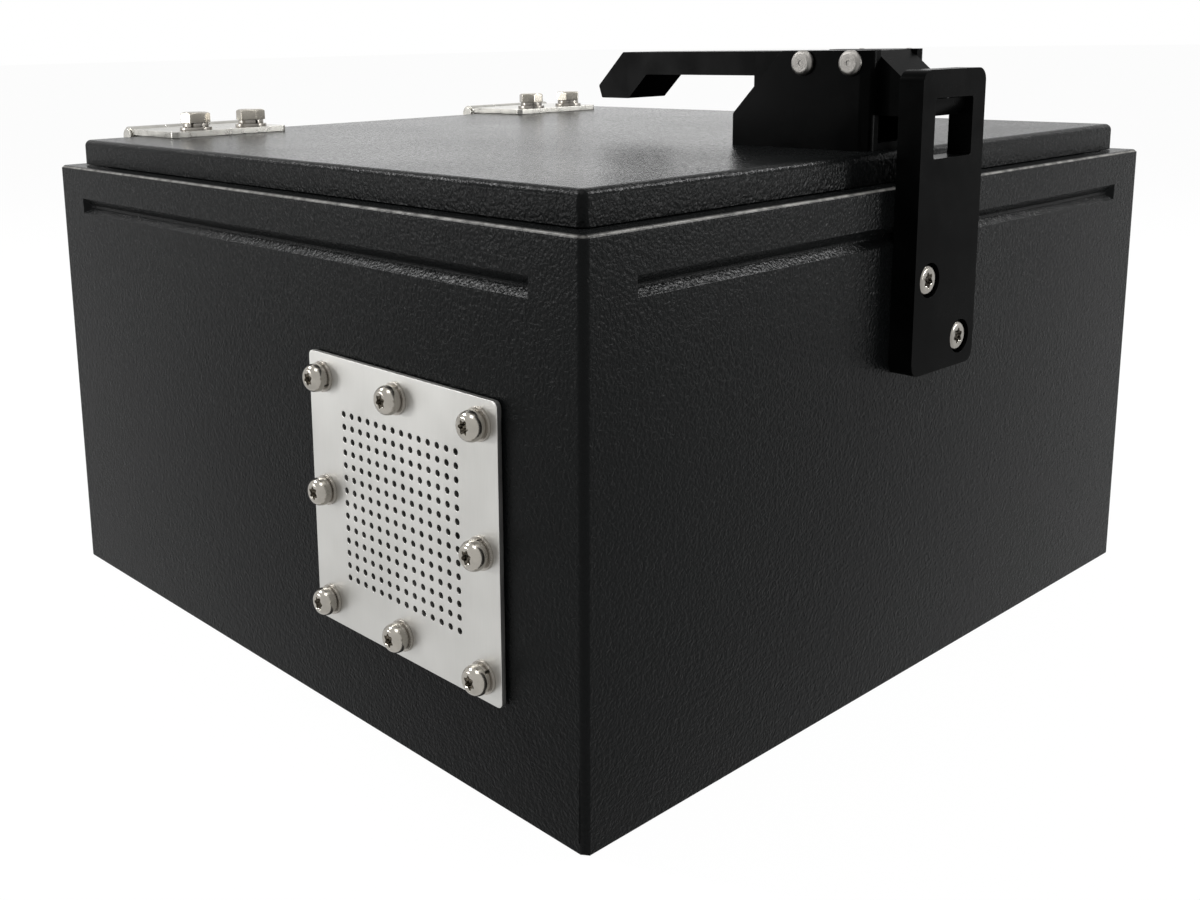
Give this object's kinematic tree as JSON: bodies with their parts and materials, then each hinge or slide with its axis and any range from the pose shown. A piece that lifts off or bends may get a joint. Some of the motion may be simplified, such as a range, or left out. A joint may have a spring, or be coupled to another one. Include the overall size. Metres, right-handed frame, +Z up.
{
  "type": "battery box",
  "caption": "Sheet-steel battery box with a vented side, a lid on two leaf hinges and a lever latch that hooks a strike plate.",
  "frame": {"origin": "middle of the box's flat underside", "axes": "+Z up; -Y is the front with the latch and strike; +Y is the back with the hinges; the vent is in the -X wall"},
  "size_m": [0.39, 0.3869, 0.256],
  "materials": {
    "black_powder_coat": "fine-textured semi-gloss powder coat",
    "black_satin_steel": "smooth satin black",
    "perforated_stainless": "matte stainless sheet",
    "hinge_stainless": "satin stainless",
    "black_rubber": "matte",
    "filter_fabric": "open woven mesh",
    "zinc_plate": "zinc plated",
    "dull_steel_pins": "dull turned steel",
    "stainless_fasteners": "bright stainless"
  },
  "bodies": {
    "box": {"box_hinge_bolts": "stainless_fasteners", "box_hinge_nuts": "stainless_fasteners", "box_hinge_spring_washers": "stainless_fasteners", "box_hinge_washers": "stainless_fasteners", "box_shell": "black_powder_coat", "hinge_box_leaf_left": "hinge_stainless", "hinge_box_leaf_right": "hinge_stainless", "hinge_pin_left": "hinge_stainless", "hinge_pin_right": "hinge_stainless", "strike_backing_plate": "zinc_plate", "strike_bracket": "black_satin_steel", "strike_nuts": "stainless_fasteners", "strike_screws": "stainless_fasteners", "strike_washers": "stainless_fasteners", "vent_filter": "filter_fabric", "vent_flat_washers": "stainless_fasteners", "vent_gasket": "black_rubber", "vent_inner_frame": "zinc_plate", "vent_nuts": "stainless_fasteners", "vent_plate": "perforated_stainless", "vent_screws": "stainless_fasteners", "vent_spring_washers": "stainless_fasteners"},
    "lid": {"hinge_lid_leaf_left": "hinge_stainless", "hinge_lid_leaf_right": "hinge_stainless", "latch_backing_plate": "zinc_plate", "latch_housing": "black_satin_steel", "latch_pivot_pin": "dull_steel_pins", "latch_screws": "stainless_fasteners", "latch_stop_pin": "dull_steel_pins", "lid_hinge_bolts": "stainless_fasteners", "lid_hinge_nuts": "stainless_fasteners", "lid_hinge_spring_washers": "stainless_fasteners", "lid_hinge_washers": "stainless_fasteners", "lid_pan": "black_powder_coat", "lid_seal": "black_rubber"},
    "lever": {"latch_lever": "black_satin_steel"}
  },
  "joints": [
    {"name": "lid_hinge", "type": "hinge", "parent": "box", "child": "lid", "pos_m": [0, 0.188, 0.2165], "axis": [-1, 0, 0], "range_deg": [0, 210]},
    {"name": "latch_lever_pivot", "type": "hinge", "parent": "lid", "child": "lever", "pos_m": [0, -0.1597, 0.251], "axis": [1, 0, 0], "range_deg": [0, 28]}
  ]
}
